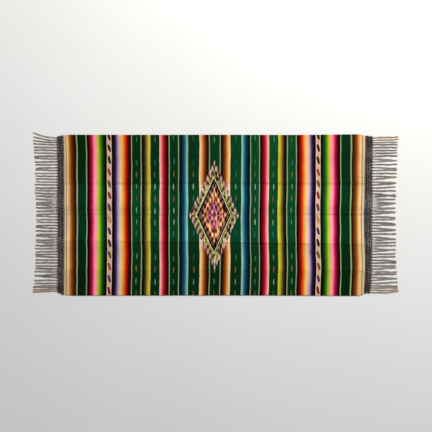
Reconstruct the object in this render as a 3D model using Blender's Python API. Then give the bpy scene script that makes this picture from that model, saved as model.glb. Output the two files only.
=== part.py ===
"""A Mexican serape laid out flat: one woven web, then a knotted net and a fringe of warp ends at each end.

Lengths are in metres. +X runs along the web, +Y across it to the back edge, and +Z is up. The tables below
count from the middle of the web; the last step moves the origin to the bottom middle of the whole serape.
"""

import math
from typing import Callable, NamedTuple

import bmesh
import bpy
import numpy as np
from mathutils import Matrix, Vector

HALF_WIDTH = 0.513
WEB_WALL = 0.002
NET_WALL = 0.0025
FRINGE_WALL = 0.004
SEAM_GAP = 0.0003

WEB_CELLS = 20
NET_CELLS = 2
FRINGE_CELLS = 4
SLOPE_STEPS = 3


class Fold(NamedTuple):
    """A long soft ridge left by folding: where its crest is, how far each side slopes off, and its rise."""

    crest: float
    back_slope: float
    front_slope: float
    rise: float
    left_share: float
    middle_share: float
    right_share: float


class SideRow(NamedTuple):
    """The two long edges at one place along the serape, each as a distance from its middle line."""

    x: float
    back: float
    front: float


class EndRow(NamedTuple):
    """Both ends at one place across the serape: the web's half length, then each band's depth."""

    y: float
    left_web: float
    left_net: float
    left_fringe: float
    right_web: float
    right_net: float
    right_fringe: float


class Finish(NamedTuple):
    """The colour and roughness of one yarn."""

    name: str
    colour: tuple[float, float, float, float]
    roughness: float


FOLDS = (
    Fold(-0.3575, 0.060, 0.065, 0.0030, 1.2, 0.8, 1.0),
    Fold(-0.1720, 0.080, 0.085, 0.0055, 0.9, 1.1, 0.8),
    Fold(0.0600, 0.138, 0.047, 0.0060, 1.1, 0.9, 1.0),
    Fold(0.3900, 0.070, 0.075, 0.0025, 0.7, 1.0, 1.2),
)

SIDES = (
    SideRow(x=-1.160, back=0.5310, front=0.4950),
    SideRow(x=-1.080, back=0.5080, front=0.4920),
    SideRow(x=-1.005, back=0.4990, front=0.4890),
    SideRow(x=-0.985, back=0.5020, front=0.4950),
    SideRow(x=-0.962, back=0.5080, front=0.5070),
    SideRow(x=-0.945, back=0.5115, front=0.5110),
    SideRow(x=-0.890, back=0.5130, front=0.5145),
    SideRow(x=-0.410, back=0.5125, front=0.5135),
    SideRow(x=0.000, back=0.5130, front=0.5130),
    SideRow(x=0.485, back=0.5120, front=0.5140),
    SideRow(x=0.920, back=0.5155, front=0.5160),
    SideRow(x=0.945, back=0.5130, front=0.5110),
    SideRow(x=0.963, back=0.5065, front=0.4970),
    SideRow(x=0.985, back=0.5020, front=0.4950),
    SideRow(x=1.015, back=0.5000, front=0.4980),
    SideRow(x=1.090, back=0.5015, front=0.4995),
    SideRow(x=1.185, back=0.5025, front=0.4920),
)

ENDS = (
    EndRow(-0.49, left_web=0.9587, left_net=0.0453, left_fringe=0.1600, right_web=0.9560, right_net=0.0420,
           right_fringe=0.1850),
    EndRow(-0.42, left_web=0.9578, left_net=0.0462, left_fringe=0.1503, right_web=0.9592, right_net=0.0473,
           right_fringe=0.1701),
    EndRow(-0.30, left_web=0.9567, left_net=0.0468, left_fringe=0.1445, right_web=0.9620, right_net=0.0490,
           right_fringe=0.1573),
    EndRow(-0.15, left_web=0.9560, left_net=0.0475, left_fringe=0.1412, right_web=0.9570, right_net=0.0550,
           right_fringe=0.1550),
    EndRow(0.00, left_web=0.9558, left_net=0.0482, left_fringe=0.1375, right_web=0.9550, right_net=0.0575,
           right_fringe=0.1527),
    EndRow(0.15, left_web=0.9565, left_net=0.0480, left_fringe=0.1435, right_web=0.9590, right_net=0.0550,
           right_fringe=0.1543),
    EndRow(0.30, left_web=0.9577, left_net=0.0473, left_fringe=0.1430, right_web=0.9604, right_net=0.0551,
           right_fringe=0.1592),
    EndRow(0.42, left_web=0.9590, left_net=0.0470, left_fringe=0.1515, right_web=0.9634, right_net=0.0523,
           right_fringe=0.1623),
    EndRow(0.50, left_web=0.9619, left_net=0.0446, left_fringe=0.1542, right_web=0.9644, right_net=0.0513,
           right_fringe=0.1685),
)

GREEN_WOOL = Finish("green_wool", (0.010, 0.075, 0.035, 1.0), 0.85)
KNOTTED_WARP = Finish("knotted_warp", (0.075, 0.060, 0.048, 1.0), 0.95)
FREE_WARP = Finish("free_warp", (0.180, 0.150, 0.120, 1.0), 0.90)

Border = Callable[[float], float]


def clear_scene() -> None:
    """Removes every object that the file holds."""
    for thing in list(bpy.data.objects):
        bpy.data.objects.remove(thing, do_unlink=True)


def column(rows: tuple, name: str) -> list[float]:
    """One named column of a table."""
    return [getattr(row, name) for row in rows]


def read_side(name: str, x: float) -> float:
    """The distance of the back or front edge from the middle line, at a place along the serape."""
    return float(np.interp(x, column(SIDES, "x"), column(SIDES, name)))


def read_end(name: str, y: float) -> float:
    """One of the end table's columns, at a place across the serape."""
    return float(np.interp(y, column(ENDS, "y"), column(ENDS, name)))


def web_end(side: str, y: float) -> float:
    """How far the web reaches from the middle, on the named side."""
    return read_end(f"{side}_web", y)


def net_end(side: str, y: float) -> float:
    """How far the knotted net reaches from the middle."""
    return web_end(side, y) + read_end(f"{side}_net", y)


def fringe_end(side: str, y: float) -> float:
    """How far the fringe reaches from the middle."""
    return net_end(side, y) + read_end(f"{side}_fringe", y)


def hump(offset: float, fold: Fold) -> float:
    """A fold's height as a share of its rise, at an offset from its crest towards the back edge."""
    slope = fold.back_slope if offset > 0 else fold.front_slope
    return 0.5 + 0.5 * math.cos(math.pi * min(abs(offset) / slope, 1.0))


def lift(x: float, y: float) -> float:
    """The height of the cloth's underside: the folds, which fade out along the free warp ends."""
    side = "left" if x < 0 else "right"
    past_net = abs(x) - net_end(side, y)
    fade = 1.0 - min(max(past_net / read_end(f"{side}_fringe", y), 0.0), 1.0)
    half_length = web_end(side, y)
    height = 0.0
    for fold in FOLDS:
        shares = (fold.left_share, fold.middle_share, fold.right_share)
        share = float(np.interp(x, (-half_length, 0.0, half_length), shares))
        height += fold.rise * share * hump(y - fold.crest, fold)
    return height * fade


def lines_across() -> list[float]:
    """The places across the serape that get a row of points: both edges and the steps of each fold's slopes."""
    lines = {-HALF_WIDTH, HALF_WIDTH}
    for fold in FOLDS:
        for step in range(-SLOPE_STEPS, SLOPE_STEPS + 1):
            slope = fold.back_slope if step > 0 else fold.front_slope
            lines.add(round(fold.crest + slope * step / SLOPE_STEPS, 5))
    return sorted(lines)


def even_shares(cells: int) -> list[float]:
    """Places from 0 to 1 that are evenly spaced."""
    return [index / cells for index in range(cells + 1)]


def end_shares(cells: int) -> list[float]:
    """Places from 0 to 1 that crowd towards both ends, where the web's corners round off."""
    return [0.5 + 0.5 * math.sin(math.pi * (share - 0.5)) for share in even_shares(cells)]


def dress(piece: bpy.types.Object, finish: Finish) -> None:
    """Gives a piece its own material."""
    material = bpy.data.materials.new(f"{piece.name}_{finish.name}")
    material.use_nodes = True
    shader = material.node_tree.nodes["Principled BSDF"]
    shader.inputs["Base Color"].default_value = finish.colour
    shader.inputs["Roughness"].default_value = finish.roughness
    shader.inputs["Metallic"].default_value = 0.0
    piece.data.materials.append(material)


def cloth_wall(
    name: str, low: Border, high: Border, shares: list[float], wall: float, finish: Finish
) -> bpy.types.Object:
    """A closed wall of cloth from one border to another along X, between the serape's long edges."""
    lines = lines_across()
    cells = len(shares) - 1
    bm = bmesh.new()
    bmesh.ops.create_grid(bm, x_segments=cells, y_segments=len(lines) - 1, size=1.0)
    for vert in bm.verts:
        share = shares[round((vert.co.x + 1.0) / 2.0 * cells)]
        line = round((vert.co.y + 1.0) / 2.0 * (len(lines) - 1))
        y = lines[line]
        x = low(y) + share * (high(y) - low(y))
        if line == 0:
            y = -read_side("front", x)
        elif line == len(lines) - 1:
            y = read_side("back", x)
        vert.co = Vector((x, y, lift(x, y)))
    mesh = bpy.data.meshes.new(name)
    bm.to_mesh(mesh)
    bm.free()
    mesh.shade_smooth()
    piece = bpy.data.objects.new(name, mesh)
    bpy.context.scene.collection.objects.link(piece)
    solidify = piece.modifiers.new("wall", "SOLIDIFY")
    solidify.thickness = wall
    solidify.offset = 1.0
    dress(piece, finish)
    return piece


def woven_web() -> bpy.types.Object:
    """The one-piece web, from its left end to its right end."""
    return cloth_wall(
        "woven_web",
        low=lambda y: -web_end("left", y),
        high=lambda y: web_end("right", y),
        shares=end_shares(WEB_CELLS),
        wall=WEB_WALL,
        finish=GREEN_WOOL,
    )


def net_heading(side: str) -> bpy.types.Object:
    """The band of knotted warp beside one end of the web."""
    sign = -1.0 if side == "left" else 1.0
    return cloth_wall(
        f"{side}_net_heading",
        low=lambda y: min(sign * (web_end(side, y) + SEAM_GAP), sign * net_end(side, y)),
        high=lambda y: max(sign * (web_end(side, y) + SEAM_GAP), sign * net_end(side, y)),
        shares=even_shares(NET_CELLS),
        wall=NET_WALL,
        finish=KNOTTED_WARP,
    )


def fringe(side: str) -> bpy.types.Object:
    """The reach of the free warp ends beyond one net."""
    sign = -1.0 if side == "left" else 1.0
    return cloth_wall(
        f"{side}_fringe",
        low=lambda y: min(sign * (net_end(side, y) + SEAM_GAP), sign * fringe_end(side, y)),
        high=lambda y: max(sign * (net_end(side, y) + SEAM_GAP), sign * fringe_end(side, y)),
        shares=even_shares(FRINGE_CELLS),
        wall=FRINGE_WALL,
        finish=FREE_WARP,
    )


def stand_on_origin(pieces: list[bpy.types.Object]) -> None:
    """Moves all pieces together, so that the origin is the bottom middle of their box."""
    points = [vert.co for piece in pieces for vert in piece.data.vertices]
    low = Vector([min(point[axis] for point in points) for axis in range(3)])
    high = Vector([max(point[axis] for point in points) for axis in range(3)])
    middle = (low + high) / 2.0
    step = Matrix.Translation((-middle.x, -middle.y, -low.z))
    for piece in pieces:
        piece.data.transform(step)


def main() -> None:
    """Builds the serape's five pieces."""
    clear_scene()
    pieces = [woven_web()]
    for side in ("left", "right"):
        pieces.append(net_heading(side))
        pieces.append(fringe(side))
    stand_on_origin(pieces)


main()
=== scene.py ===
"""Looks for a Mexican serape laid out flat: the striped web, the knotted nets and the warp fringes.

Lengths are in metres unless a name says otherwise. Shapes are worked out from the middle of the web, with +X
along the warp and +Y towards the back selvedge, and are then moved to where the frame holds the serape.
"""

import bisect
import logging
import math
import random
from dataclasses import dataclass, field
from enum import Enum
from typing import Any, Callable, NamedTuple, Sequence

import bmesh
import bpy
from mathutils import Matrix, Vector, noise


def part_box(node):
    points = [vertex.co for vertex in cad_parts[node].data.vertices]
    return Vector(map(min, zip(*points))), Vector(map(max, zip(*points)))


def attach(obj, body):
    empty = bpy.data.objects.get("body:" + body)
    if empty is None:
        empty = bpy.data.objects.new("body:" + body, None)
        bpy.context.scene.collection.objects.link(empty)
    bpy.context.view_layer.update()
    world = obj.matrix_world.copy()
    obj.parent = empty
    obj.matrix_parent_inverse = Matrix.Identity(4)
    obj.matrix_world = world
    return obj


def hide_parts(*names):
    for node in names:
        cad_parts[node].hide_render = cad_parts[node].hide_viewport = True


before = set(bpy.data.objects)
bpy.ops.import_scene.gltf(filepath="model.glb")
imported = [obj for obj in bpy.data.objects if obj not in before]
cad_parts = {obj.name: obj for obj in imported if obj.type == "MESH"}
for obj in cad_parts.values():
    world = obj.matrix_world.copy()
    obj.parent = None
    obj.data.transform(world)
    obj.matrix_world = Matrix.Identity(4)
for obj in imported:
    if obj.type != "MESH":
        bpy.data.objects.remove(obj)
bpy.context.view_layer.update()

LOG = logging.getLogger("serape")
MM = 0.001
Colour = tuple[float, float, float, float]


class End(Enum):
    """An end of the serape, with its direction along X."""

    LEFT = -1.0
    RIGHT = 1.0


class CreaseKind(Enum):
    """Whether a fold line stands up from the cloth or dips between two low banks."""

    RIDGE = "ridge"
    TROUGH = "trough"


class Order(Enum):
    """Which way a shaded stripe runs, from the middle of the web outwards."""

    DARK_FIRST = 1
    LIGHT_FIRST = -1


class Shade(Enum):
    """The dyed wefts of each kind of stripe, as colour codes from dark to light."""

    SPRUCE = ("064322",)
    SAGE = ("909E78",)
    TAN = ("040202", "080302", "321606", "562604", "7C3A0B", "A6551C", "CC823F", "E6AC70",
           "EEC898", "DCCBA2")
    BLUE = ("040202", "020608", "041D2E", "042A46", "083F5B", "10616F", "3C8890", "84B2AA", "9CBEB0")
    RED = ("040202", "060203", "3B0205", "660411", "8B071B", "B2132B", "D43A4D", "EA767B",
           "ECA9A0", "E8B8AC")
    YELLOW = ("040202", "060503", "1C1A0A", "423C1C", "786C2A", "AC9A2A", "CAB62C", "DACA48")
    ORANGE = ("040202", "060203", "380506", "60040A", "960A07", "B61600", "D64E0E", "E0701C",
              "EC9A3C", "F0B65F", "DFC08C", "DCC6A4")
    VIOLET = ("040202", "040204", "180522", "30144A", "583A6A", "A2869E", "C0ABB2", "D0BEAF")
    FLESH = ("D0BCA4", "DAB09A", "D0A28A", "DAB09A", "D0BCA4")
    LEAF = ("040202", "030603", "042D14", "074A21", "125C19", "337206", "6D9513", "AFB230",
            "C9B64B", "CBB070")
    ROSE = ("040202", "080102", "300007", "6C0223", "950639", "C31B56", "F05183", "FD8AA4",
            "F3A2A2", "D7AA8E")
    BROWN = ("040202", "280F03", "4B1E07", "683107", "804407", "A46524", "CC9454", "E4B681",
             "E8C092", "DEBA8C")
    UMBER = ("7E5F3C",)
    IVORY = ("D0BC98",)


class Band(NamedTuple):
    """One stripe on each side of the web's middle: its width in mm and the wefts it is woven from."""

    width_mm: float
    shade: Shade
    order: Order = Order.DARK_FIRST
    dashed: bool = False


class Ring(NamedTuple):
    """One ring of the lozenge: where it starts, as a share of the way out, and its two alternate wefts."""

    start: float
    even: str
    odd: str


class Fold(NamedTuple):
    """A long soft ridge left by folding: where its crest is, how far each side slopes off, and its rise."""

    crest: float
    back_slope: float
    front_slope: float
    rise: float
    left_share: float
    middle_share: float
    right_share: float


class Crease(NamedTuple):
    """One narrow fold line: its place, slant, kind and size, and how strong it is at five even places.

    The slant is how far it moves back for each metre to the right, and wander is how far it strays.
    """

    y: float
    slant: float
    kind: CreaseKind
    rise: float
    half_width: float
    wander: float
    strengths: tuple[float, float, float, float, float]


class SideRow(NamedTuple):
    """The two long edges at one place along the serape, each as a distance from its middle line."""

    x: float
    back: float
    front: float


class EndRow(NamedTuple):
    """Both ends at one place across the serape: the web's half length, then each band's depth."""

    y: float
    left_web: float
    left_net: float
    left_fringe: float
    right_web: float
    right_net: float
    right_fringe: float


class Slip(NamedTuple):
    """How far the weaving has slipped at one place, in millimetres, between -10 and 10."""

    place: float
    slip_mm: float


class TintStop(NamedTuple):
    """The colour that multiplies the cloth's own at one place."""

    place: float
    tint: str


# The broad folds, front to back.
FOLDS = (
    Fold(-0.3575, 0.060, 0.065, 0.0030, 1.2, 0.8, 1.0),
    Fold(-0.1720, 0.080, 0.085, 0.0055, 0.9, 1.1, 0.8),
    Fold(0.0600, 0.138, 0.047, 0.0060, 1.1, 0.9, 1.0),
    Fold(0.3900, 0.070, 0.075, 0.0025, 0.7, 1.0, 1.2),
)

# The narrow fold lines, front to back.
CREASES = (
    Crease(-0.3580, 0.000, CreaseKind.RIDGE, 0.0006, 0.0100, 0.0015, (0.4, 0.3, 0.5, 0.3, 0.9)),
    Crease(-0.1740, -0.011, CreaseKind.RIDGE, 0.0021, 0.0062, 0.0012, (0.5, 0.7, 1.5, 1.1, 0.7)),
    Crease(0.0000, 0.000, CreaseKind.TROUGH, 0.0019, 0.0110, 0.0014, (1.0, 0.8, 0.7, 1.0, 1.3)),
    Crease(0.1960, 0.000, CreaseKind.TROUGH, 0.0017, 0.0110, 0.0016, (1.0, 1.2, 0.6, 1.0, 0.7)),
    Crease(0.2360, 0.000, CreaseKind.TROUGH, 0.0014, 0.0090, 0.0010, (0.0, 0.0, 0.0, 0.1, 1.1)),
    Crease(0.3880, 0.000, CreaseKind.RIDGE, 0.0003, 0.0100, 0.0018, (0.2, 0.4, 0.3, 0.3, 0.6)),
)

# The long edges, from the left tips to the right ones.
SIDES = (
    SideRow(x=-1.160, back=0.5310, front=0.4950),
    SideRow(x=-1.080, back=0.5080, front=0.4920),
    SideRow(x=-1.005, back=0.4990, front=0.4890),
    SideRow(x=-0.985, back=0.5020, front=0.4950),
    SideRow(x=-0.962, back=0.5080, front=0.5070),
    SideRow(x=-0.945, back=0.5115, front=0.5110),
    SideRow(x=-0.890, back=0.5130, front=0.5145),
    SideRow(x=-0.410, back=0.5125, front=0.5135),
    SideRow(x=0.000, back=0.5130, front=0.5130),
    SideRow(x=0.485, back=0.5120, front=0.5140),
    SideRow(x=0.920, back=0.5155, front=0.5160),
    SideRow(x=0.945, back=0.5130, front=0.5110),
    SideRow(x=0.963, back=0.5065, front=0.4970),
    SideRow(x=0.985, back=0.5020, front=0.4950),
    SideRow(x=1.015, back=0.5000, front=0.4980),
    SideRow(x=1.090, back=0.5015, front=0.4995),
    SideRow(x=1.185, back=0.5025, front=0.4920),
)

# The two ends, front to back.
ENDS = (
    EndRow(-0.49, left_web=0.9587, left_net=0.0453, left_fringe=0.1600, right_web=0.9560, right_net=0.0420,
           right_fringe=0.1850),
    EndRow(-0.42, left_web=0.9578, left_net=0.0462, left_fringe=0.1503, right_web=0.9592, right_net=0.0473,
           right_fringe=0.1701),
    EndRow(-0.30, left_web=0.9567, left_net=0.0468, left_fringe=0.1445, right_web=0.9620, right_net=0.0490,
           right_fringe=0.1573),
    EndRow(-0.15, left_web=0.9560, left_net=0.0475, left_fringe=0.1412, right_web=0.9570, right_net=0.0550,
           right_fringe=0.1550),
    EndRow(0.00, left_web=0.9558, left_net=0.0482, left_fringe=0.1375, right_web=0.9550, right_net=0.0575,
           right_fringe=0.1527),
    EndRow(0.15, left_web=0.9565, left_net=0.0480, left_fringe=0.1435, right_web=0.9590, right_net=0.0550,
           right_fringe=0.1543),
    EndRow(0.30, left_web=0.9577, left_net=0.0473, left_fringe=0.1430, right_web=0.9604, right_net=0.0551,
           right_fringe=0.1592),
    EndRow(0.42, left_web=0.9590, left_net=0.0470, left_fringe=0.1515, right_web=0.9634, right_net=0.0523,
           right_fringe=0.1623),
    EndRow(0.50, left_web=0.9619, left_net=0.0446, left_fringe=0.1542, right_web=0.9644, right_net=0.0513,
           right_fringe=0.1685),
)

# The stripes, from the middle of the web outwards, the same on both sides.
BANDS = (
    Band(31.6, Shade.SPRUCE, dashed=True),
    Band(6.2, Shade.SAGE),
    Band(61.7, Shade.TAN),
    Band(70.9, Shade.SPRUCE, dashed=True),
    Band(57.4, Shade.BLUE, Order.LIGHT_FIRST),
    Band(6.2, Shade.SAGE),
    Band(53.8, Shade.SPRUCE, dashed=True),
    Band(6.2, Shade.SAGE),
    Band(58.5, Shade.RED),
    Band(58.4, Shade.SPRUCE, dashed=True),
    Band(55.7, Shade.YELLOW, Order.LIGHT_FIRST),
    Band(6.2, Shade.SAGE),
    Band(54.2, Shade.SPRUCE, dashed=True),
    Band(6.4, Shade.SAGE),
    Band(71.7, Shade.ORANGE),
    Band(53.3, Shade.VIOLET, Order.LIGHT_FIRST),
    Band(30.6, Shade.FLESH),
    Band(65.2, Shade.LEAF),
    Band(61.2, Shade.ROSE, Order.LIGHT_FIRST),
    Band(6.6, Shade.SAGE),
    Band(54.0, Shade.SPRUCE),
    Band(8.0, Shade.SAGE),
    Band(62.4, Shade.BROWN),
    Band(4.8, Shade.UMBER),
    Band(10.0, Shade.IVORY),
)

# Along the web: how far the stripes lie inwards of their even places.
BEATEN_UP = (
    Slip(-1.000, 2.0),
    Slip(-0.140, 2.0),
    Slip(-0.110, 3.6),
    Slip(-0.030, 2.4),
    Slip(-0.001, 2.0),
    Slip(0.001, -2.0),
    Slip(0.110, -2.6),
    Slip(0.190, -1.6),
    Slip(0.250, 0.2),
    Slip(0.300, 4.2),
    Slip(0.390, 3.6),
    Slip(0.480, 3.2),
    Slip(0.530, 6.6),
    Slip(0.660, 7.0),
    Slip(0.760, 9.2),
    Slip(0.820, 9.2),
    Slip(0.860, 5.7),
    Slip(0.940, 4.3),
)

# Across the web: how far the right end's stripes lean to the left, from the orange one to the last green one.
RIGHT_SAG = (
    Slip(-0.470, 0.8),
    Slip(-0.330, 1.8),
    Slip(-0.250, 3.4),
    Slip(-0.170, 1.8),
    Slip(-0.100, 0.0),
    Slip(0.200, 0.2),
    Slip(0.300, 1.6),
    Slip(0.400, 4.4),
)

# Across the web: the same for the left end's brown stripe.
LEFT_SAG = (
    Slip(-0.100, 1.8),
    Slip(0.000, 2.8),
    Slip(0.120, 4.2),
    Slip(0.270, 6.4),
    Slip(0.420, 9.2),
)

# Across the web: painted light and shade on all stripes but the green ones, with a step at the front and back
# fold lines and darker towards the front and back edges.
PALE_PANEL_LIGHT = (
    TintStop(-0.510, "ECE6DC"),
    TintStop(-0.186, "F1F0EA"),
    TintStop(-0.170, "F4F4F0"),
    TintStop(0.190, "F2F4F4"),
    TintStop(0.204, "E9E4DC"),
    TintStop(0.510, "E6DCCE"),
)

# Across the web: painted shade on the green wool, most of all along the front.
GREEN_PANEL_SHADE = (
    TintStop(-0.510, "B4B090"),
    TintStop(-0.400, "BABA9C"),
    TintStop(-0.280, "C4C6AC"),
    TintStop(-0.184, "D6D8C2"),
    TintStop(-0.168, "E8E9DE"),
    TintStop(-0.100, "F5F5F0"),
)

# Along the web: the green wool's tint, darker towards both ends.
GREEN_TINT_ALONG = (
    TintStop(-0.950, "A8ACA0"),
    TintStop(-0.850, "B0B4AA"),
    TintStop(-0.780, "BCC4B8"),
    TintStop(-0.520, "F0ECE8"),
    TintStop(-0.380, "EEEAE6"),
    TintStop(-0.270, "D4D6D4"),
    TintStop(0.000, "D4D6D8"),
    TintStop(0.130, "E0E0E0"),
    TintStop(0.240, "F0F0E8"),
    TintStop(0.290, "FCFAF4"),
    TintStop(0.490, "F6F4F0"),
    TintStop(0.750, "D0CED0"),
    TintStop(0.850, "B4B8B8"),
)

# Along the web: painted shade on the green wool behind the back fold line.
GREEN_BACK_SHADE = (
    TintStop(-0.870, "BEC4BC"),
    TintStop(-0.780, "C0BEA8"),
    TintStop(-0.520, "B4B294"),
    TintStop(-0.380, "B6B49A"),
    TintStop(-0.270, "D6D4C6"),
    TintStop(-0.080, "E0DCD0"),
    TintStop(0.080, "FAFAF4"),
    TintStop(0.500, "FCFCF4"),
    TintStop(0.820, "E6E6E2"),
)

# The wefts of the dashes and the beads, row by row, from the back edge to the front one.
DASH_WEFTS = (
    "4E9A5E", "0C2C1A", "2E7A74", "8A7A4A", "8FB878", "8E5A58", "8DB4A8",
    "B4CC9A", "2C6F80", "2A1414", "5B8440", "A8683C", "849CA6", "8C443C",
)

BEAD_WEFTS = (
    "060604", "200204", "10140F", "86380F", "58480F", "740E14", "583440",
    "B07840", "182040", "200507", "54480F", "843010", "42264F", "740D10",
)

# The lozenge's rings, from its middle outwards.
RINGS = (
    Ring(0.000, "8A1A0A", "5E0E08"),
    Ring(0.055, "B85E5C", "6A1414"),
    Ring(0.100, "E6B0B0", "74242E"),
    Ring(0.165, "D47E8C", "541628"),
    Ring(0.225, "C45E74", "64162A"),
    Ring(0.280, "CC7C68", "702C28"),
    Ring(0.330, "DC9466", "481A06"),
    Ring(0.385, "F4B47E", "743C14"),
    Ring(0.450, "ECA86A", "4C200A"),
    Ring(0.490, "AC7850", "2A0E06"),
    Ring(0.535, "7C5C56", "140606"),
    Ring(0.590, "5A4642", "0C0303"),
    Ring(0.630, "20100E", "0A0303"),
    Ring(0.730, "B0AA70", "2A2606"),
    Ring(0.762, "949E3E", "1C1A04"),
    Ring(0.812, "CCC08E", "302208"),
    Ring(0.850, "BC9C6C", "3A140A"),
    Ring(0.895, "BE9088", "22080A"),
    Ring(0.940, "D0B8BC", "2A1016"),
    Ring(0.968, "D4C2C8", "8A6A72"),
)


def dyed(code: str) -> Colour:
    """A colour code as a linear colour.

    Args:
        code: six hexadecimal digits, as a display shows the colour.

    Returns:
        The linear red, green and blue, and an alpha of 1.
    """
    shown = [int(code[at : at + 2], 16) / 255.0 for at in (0, 2, 4)]
    linear = [value / 12.92 if value <= 0.04045 else ((value + 0.055) / 1.055) ** 2.4 for value in shown]
    return (linear[0], linear[1], linear[2], 1.0)


def eased(share: float) -> float:
    """A share from 0 to 1 that starts and ends gently."""
    share = min(max(share, 0.0), 1.0)
    return share * share * (3.0 - 2.0 * share)


class Track:
    """A smooth line through a few values, one at each rising station, and level beyond them."""

    def __init__(self, stations: Sequence[float], values: Sequence[float]) -> None:
        """Works out the slope at each station.

        Args:
            stations: where the values are, in rising order.
            values: one value for each station.
        """
        self.stations = list(stations)
        self.values = list(values)
        spans = range(len(stations) - 1)
        steps = [(values[at + 1] - values[at]) / (stations[at + 1] - stations[at]) for at in spans]
        pairs = zip(steps, steps[1:])
        inner = [(before + after) / 2.0 if before * after > 0 else 0.0 for before, after in pairs]
        self.slopes = [steps[0], *inner, steps[-1]]

    def __call__(self, place: float) -> float:
        """The value at a place.

        Args:
            place: a station or anywhere between or beyond them.

        Returns:
            The value there.
        """
        place = min(max(place, self.stations[0]), self.stations[-1])
        at = min(bisect.bisect_right(self.stations, place), len(self.stations) - 1) - 1
        span = self.stations[at + 1] - self.stations[at]
        t = (place - self.stations[at]) / span
        low, high = self.values[at], self.values[at + 1]
        ends = low * (1.0 + 2.0 * t) * (1.0 - t) ** 2 + high * t * t * (3.0 - 2.0 * t)
        slopes = self.slopes[at] * t * (1.0 - t) ** 2 - self.slopes[at + 1] * t * t * (1.0 - t)
        return ends + slopes * span


@dataclass
class Lay:
    """How the serape lies: its outline and the height of its underside.

    The crease reach and the width of the painted crease shade are counted in half widths of a fold line.
    """

    half_length: float = 0.9598
    half_width: float = 0.513
    edge_reach: float = 0.080
    undulation: float = 0.0011
    selvedge_ripple: float = 0.0016
    crease_reach: float = 8.0
    wear_width: float = 0.85
    tracks: dict[str, Track] = field(init=False)
    shares: dict[tuple, Track] = field(init=False)

    def __post_init__(self) -> None:
        """Draws a smooth line through each column of the tables."""
        self.tracks = {}
        for name in SideRow._fields[1:]:
            self.tracks[name] = Track([row.x for row in SIDES], [getattr(row, name) for row in SIDES])
        for name in EndRow._fields[1:]:
            self.tracks[name] = Track([row.y for row in ENDS], [getattr(row, name) for row in ENDS])
        self.shares = {}
        for fold in FOLDS:
            shares = (fold.left_share, fold.middle_share, fold.right_share)
            self.shares[fold] = Track((-1.0, 0.0, 1.0), shares)
        for crease in CREASES:
            self.shares[crease] = Track((-1.0, -0.5, 0.0, 0.5, 1.0), crease.strengths)

    def depth(self, end: End, band: str, y: float) -> float:
        """One band's depth at an end: web is the web's half length, then net and fringe."""
        return self.tracks[f"{end.name.lower()}_{band}"](y)

    def net_end(self, end: End, y: float) -> float:
        """How far the net reaches from the middle of the web."""
        return self.depth(end, "web", y) + self.depth(end, "net", y)

    def across(self, x: float, y: float) -> float:
        """Where a place across the web comes to lie, once the long edges have their real line.

        Args:
            x: the place along the serape.
            y: the place across a serape with straight edges.

        Returns:
            The place across the real one, which differs near the edges only.
        """
        inner = self.half_width - self.edge_reach
        share = eased((abs(y) - inner) / self.edge_reach)
        edge = self.tracks["back" if y > 0 else "front"](x)
        return y + math.copysign(1.0, y) * share * (edge - self.half_width)

    def height(self, x: float, y: float) -> float:
        """The height of the cloth's underside.

        Args:
            x: the place along the serape.
            y: the place across it.

        Returns:
            The height above the surface that it lies on.
        """
        end = End.LEFT if x < 0 else End.RIGHT
        half_length = self.depth(end, "web", y)
        along = x / half_length
        past_net = (abs(x) - self.net_end(end, y)) / self.depth(end, "fringe", y)
        rise = self.folded(along, y) + self.creased(x, y) + self.settled(x, y)
        return rise * (1.0 - eased(past_net))

    def folded(self, along: float, y: float) -> float:
        """The height of the broad folds.

        Args:
            along: the place along the web, from -1 at its left end to 1 at its right end.
            y: the place across it.

        Returns:
            The folds' height there.
        """
        rise = 0.0
        for fold in FOLDS:
            offset = y - fold.crest
            slope = fold.back_slope if offset > 0 else fold.front_slope
            if abs(offset) < slope:
                hump = 0.5 + 0.5 * math.cos(math.pi * offset / slope)
                rise += fold.rise * self.shares[fold](along) * hump
        return rise

    def near_creases(self, x: float, y: float) -> list[tuple[Crease, float, float]]:
        """The fold lines near a place, which waver and come and go along the serape.

        Args:
            x: the place along the serape.
            y: the place across it.

        Returns:
            Each line, how far off it the place is as a share of its half width, and its strength there.
        """
        found = []
        for number, crease in enumerate(CREASES):
            if abs(y - crease.y) < self.crease_reach * crease.half_width:
                wander = crease.slant * x + crease.wander * noise.noise(Vector((x * 3.1, number * 7.0, 0.5)))
                patch = 1.0 + 0.6 * noise.noise(Vector((x * 4.3, number * 5.0, 8.5)))
                offset = (y - crease.y - wander) / crease.half_width
                found.append((crease, offset, patch * self.shares[crease](x / self.half_length)))
        return found

    def creased(self, x: float, y: float) -> float:
        """The height of the narrow fold lines.

        Args:
            x: the place along the serape.
            y: the place across it.

        Returns:
            Their height there: a sharp crest on a ridge, and a dip between two low banks in a trough.
        """
        rise = 0.0
        for crease, offset, strength in self.near_creases(x, y):
            if crease.kind is CreaseKind.RIDGE:
                shape = math.exp(-abs(offset) ** 1.4)
            else:
                shape = math.exp(-((offset / 3.2) ** 2)) - math.exp(-((offset / 0.9) ** 2))
            rise += crease.rise * strength * shape
        return rise

    def crease_wear(self, x: float, y: float) -> float:
        """How much painted shade darkens the cloth at a place, from 0 to about 1: most along the fold lines."""
        near = self.near_creases(x, y)
        return sum(strength * math.exp(-((offset / self.wear_width) ** 2)) for _, offset, strength in near)

    def settled(self, x: float, y: float) -> float:
        """The slight unevenness of woven wool that has settled on a flat surface.

        Args:
            x: the place along the serape.
            y: the place across it.

        Returns:
            The height there: a soft swell all over, and a ripple along the selvedges.
        """
        swell = 0.5 + 0.5 * noise.noise(Vector((x * 4.0, y * 5.5, 2.0)))
        near_edge = eased((abs(y) - self.half_width + self.edge_reach / 2.0) / (self.edge_reach / 2.0))
        wave = 0.5 + 0.5 * noise.noise(Vector((x * 7.0, math.copysign(3.0, y), 4.0)))
        return self.undulation * swell + self.selvedge_ripple * near_edge * wave

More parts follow.
